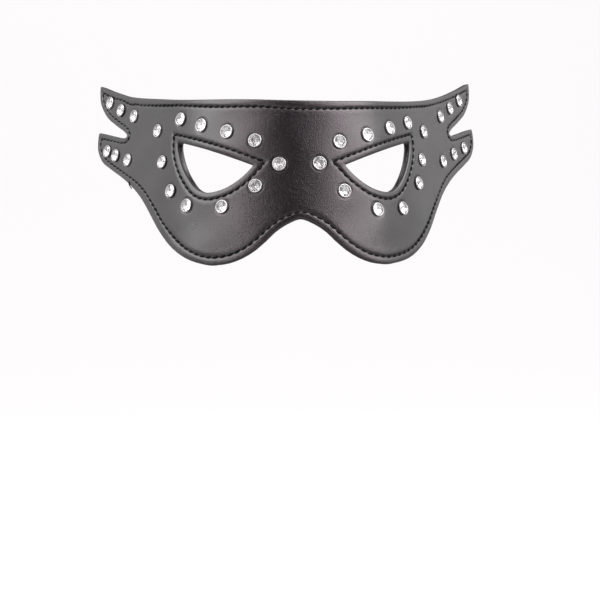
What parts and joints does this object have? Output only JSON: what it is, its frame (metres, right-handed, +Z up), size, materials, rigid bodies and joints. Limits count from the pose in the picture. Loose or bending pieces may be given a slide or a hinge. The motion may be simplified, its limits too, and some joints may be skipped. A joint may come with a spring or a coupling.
{
  "type": "fetish mask",
  "caption": "Black leather eye mask with stitched edges, forked winged temples, crystal rivets round the eyes and along the wings, and an elastic head strap.",
  "frame": {"origin": "middle of the bridge's inner face, where the mask rests on the nose, level with the inner corners of the eye openings", "axes": "-Y is the way the mask faces, +Y goes into the head, +Z is up, +X is to the right as seen from the front"},
  "size_m": [0.186, 0.1907, 0.0926],
  "materials": {
    "leather": "smooth black leather with a fine grain and a soft satin gloss",
    "thread": "black waxed sewing thread",
    "elastic": "woven black elastic, matt",
    "rivet_metal": "bright nickel-plated steel",
    "crystal": "clear cut crystal over a silver foil"
  },
  "bodies": {
    "root": {"mask_body": "leather", "head_strap": "elastic", "crystal_rivet_left_01": "rivet_metal", "crystal_rivet_left_02": "rivet_metal", "crystal_rivet_left_03": "rivet_metal", "crystal_rivet_left_04": "rivet_metal", "crystal_rivet_left_05": "rivet_metal", "crystal_rivet_left_06": "rivet_metal", "crystal_rivet_left_07": "rivet_metal", "crystal_rivet_left_08": "rivet_metal", "crystal_rivet_left_09": "rivet_metal", "crystal_rivet_left_10": "rivet_metal", "crystal_rivet_left_11": "rivet_metal", "crystal_rivet_left_12": "rivet_metal", "crystal_rivet_left_13": "rivet_metal", "crystal_rivet_left_14": "rivet_metal", "crystal_rivet_left_15": "rivet_metal", "crystal_rivet_left_16": "rivet_metal", "crystal_rivet_left_17": "rivet_metal", "crystal_rivet_right_01": "rivet_metal", "crystal_rivet_right_02": "rivet_metal", "crystal_rivet_right_03": "rivet_metal", "crystal_rivet_right_04": "rivet_metal", "crystal_rivet_right_05": "rivet_metal", "crystal_rivet_right_06": "rivet_metal", "crystal_rivet_right_07": "rivet_metal", "crystal_rivet_right_08": "rivet_metal", "crystal_rivet_right_09": "rivet_metal", "crystal_rivet_right_10": "rivet_metal", "crystal_rivet_right_11": "rivet_metal", "crystal_rivet_right_12": "rivet_metal", "crystal_rivet_right_13": "rivet_metal", "crystal_rivet_right_14": "rivet_metal", "crystal_rivet_right_15": "rivet_metal", "crystal_rivet_right_16": "rivet_metal", "crystal_rivet_right_17": "rivet_metal"}
  },
  "joints": []
}
